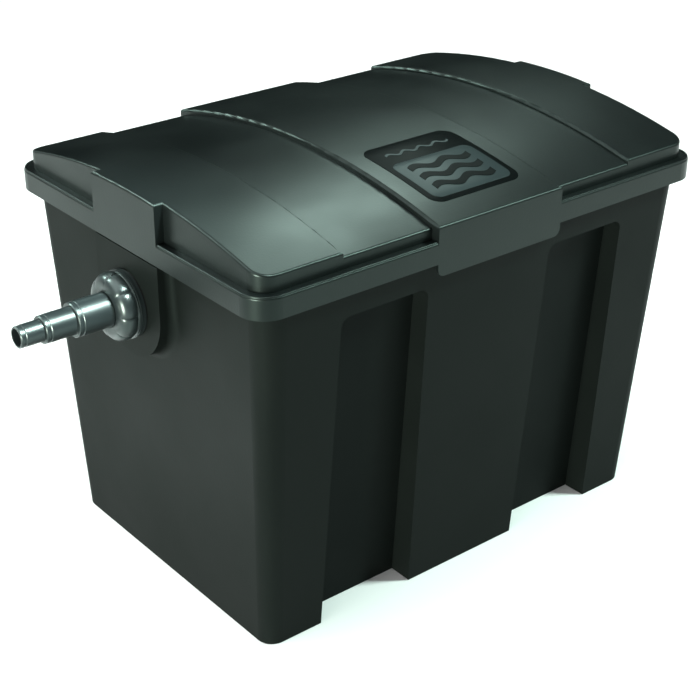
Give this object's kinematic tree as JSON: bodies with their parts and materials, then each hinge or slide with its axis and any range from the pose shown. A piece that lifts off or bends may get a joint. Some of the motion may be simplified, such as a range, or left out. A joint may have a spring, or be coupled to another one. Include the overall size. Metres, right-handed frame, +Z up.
{
  "type": "flow-through pond filter",
  "caption": "Box-shaped flow-through pond filter: tapered tub with an arched lift-off lid, stepped hose inlet, pipe outlet, drain valve and media chambers",
  "frame": {"origin": "centre of the tank's base, on the floor", "axes": "+X along the tank from the inlet end to the outlet end, +Y across it, +Z up"},
  "size_m": [0.8941, 0.488, 0.509],
  "materials": {
    "moulded_shell": "satin black-green moulded polypropylene, fine texture",
    "badge": "dark plate, plain, no lettering",
    "fitting": "satin black moulded ABS",
    "seal": "black EPDM",
    "valve_seat": "white PTFE",
    "partition": "dark grey polypropylene sheet",
    "stainless": "drawn stainless steel",
    "bristle": "green polypropylene bristles",
    "grid": "black polypropylene",
    "coarse_foam": "blue open-cell filter foam",
    "fibre_mat": "green bonded fibre matting",
    "net_bag": "white net bag of filter balls",
    "ball_plastic": "white moulded plastic",
    "lever": "red moulded plastic"
  },
  "bodies": {
    "tank": {"tank": "moulded_shell", "inlet_bulkhead": "fitting", "inlet_threaded_neck": "fitting", "inlet_gasket": "seal", "inlet_locknut": "fitting", "inlet_o_ring": "seal", "inlet_down_pipe": "fitting", "outlet_bulkhead": "fitting", "outlet_threaded_neck": "fitting", "outlet_gasket": "seal", "outlet_locknut": "fitting", "outlet_o_ring": "seal", "outlet_dip_pipe": "fitting", "inlet_partition": "partition", "outlet_partition": "partition", "near_brush_rail": "stainless", "far_brush_rail": "stainless", "filter_brush_1": "bristle", "filter_brush_2": "bristle", "filter_brush_3": "bristle", "filter_brush_4": "bristle", "filter_brush_5": "bristle", "mat_support_grid": "grid", "mat_grid_legs": "grid", "ball_support_grid": "grid", "ball_grid_legs": "grid", "filter_mat_1": "coarse_foam", "filter_mat_2": "fibre_mat", "filter_mat_3": "coarse_foam", "filter_mat_4": "fibre_mat", "filter_mat_5": "coarse_foam", "front_mat_comb": "grid", "rear_mat_comb": "grid", "ball_bag": "net_bag", "drain_connector": "fitting", "drain_gasket": "seal", "drain_locknut": "fitting", "valve_body": "fitting", "valve_seats": "valve_seat", "drain_cap": "fitting"},
    "lid": {"lid": "moulded_shell", "badge_plate": "badge"},
    "inlet_tail": {"inlet_hose_tail": "fitting"},
    "inlet_nut": {"inlet_union_nut": "fitting"},
    "outlet_tail": {"outlet_spigot": "fitting"},
    "outlet_nut": {"outlet_union_nut": "fitting"},
    "drain_valve": {"valve_ball": "ball_plastic", "valve_stem": "ball_plastic", "valve_lever": "lever", "lever_screw": "stainless"}
  },
  "joints": [
    {"name": "lid_lift", "type": "slide", "parent": "tank", "child": "lid", "axis": [0, 0, 1], "range_m": [0, 0.3]},
    {"name": "inlet_tail_draw", "type": "slide", "parent": "tank", "child": "inlet_tail", "axis": [-1, 0, 0], "range_m": [0, 0.016]},
    {"name": "inlet_nut_turn", "type": "hinge", "parent": "inlet_tail", "child": "inlet_nut", "pos_m": [-0.345, 0, 0.3706], "axis": [1, 0, 0], "range_deg": [0, 1440]},
    {"name": "outlet_tail_draw", "type": "slide", "parent": "tank", "child": "outlet_tail", "axis": [1, 0, 0], "range_m": [0, 0.016]},
    {"name": "outlet_nut_turn", "type": "hinge", "parent": "outlet_tail", "child": "outlet_nut", "pos_m": [0.345, 0, 0.3706], "axis": [-1, 0, 0], "range_deg": [0, 1440]},
    {"name": "drain_lever_turn", "type": "hinge", "parent": "tank", "child": "drain_valve", "pos_m": [0.34381, 0, 0.045], "axis": [0, 0, 1], "range_deg": [0, 90]}
  ],
  "couplings": [
    {"joint": "inlet_tail_draw", "follows": "inlet_nut_turn", "m_per_rad": 0.0006363},
    {"joint": "outlet_tail_draw", "follows": "outlet_nut_turn", "m_per_rad": 0.0006363}
  ]
}
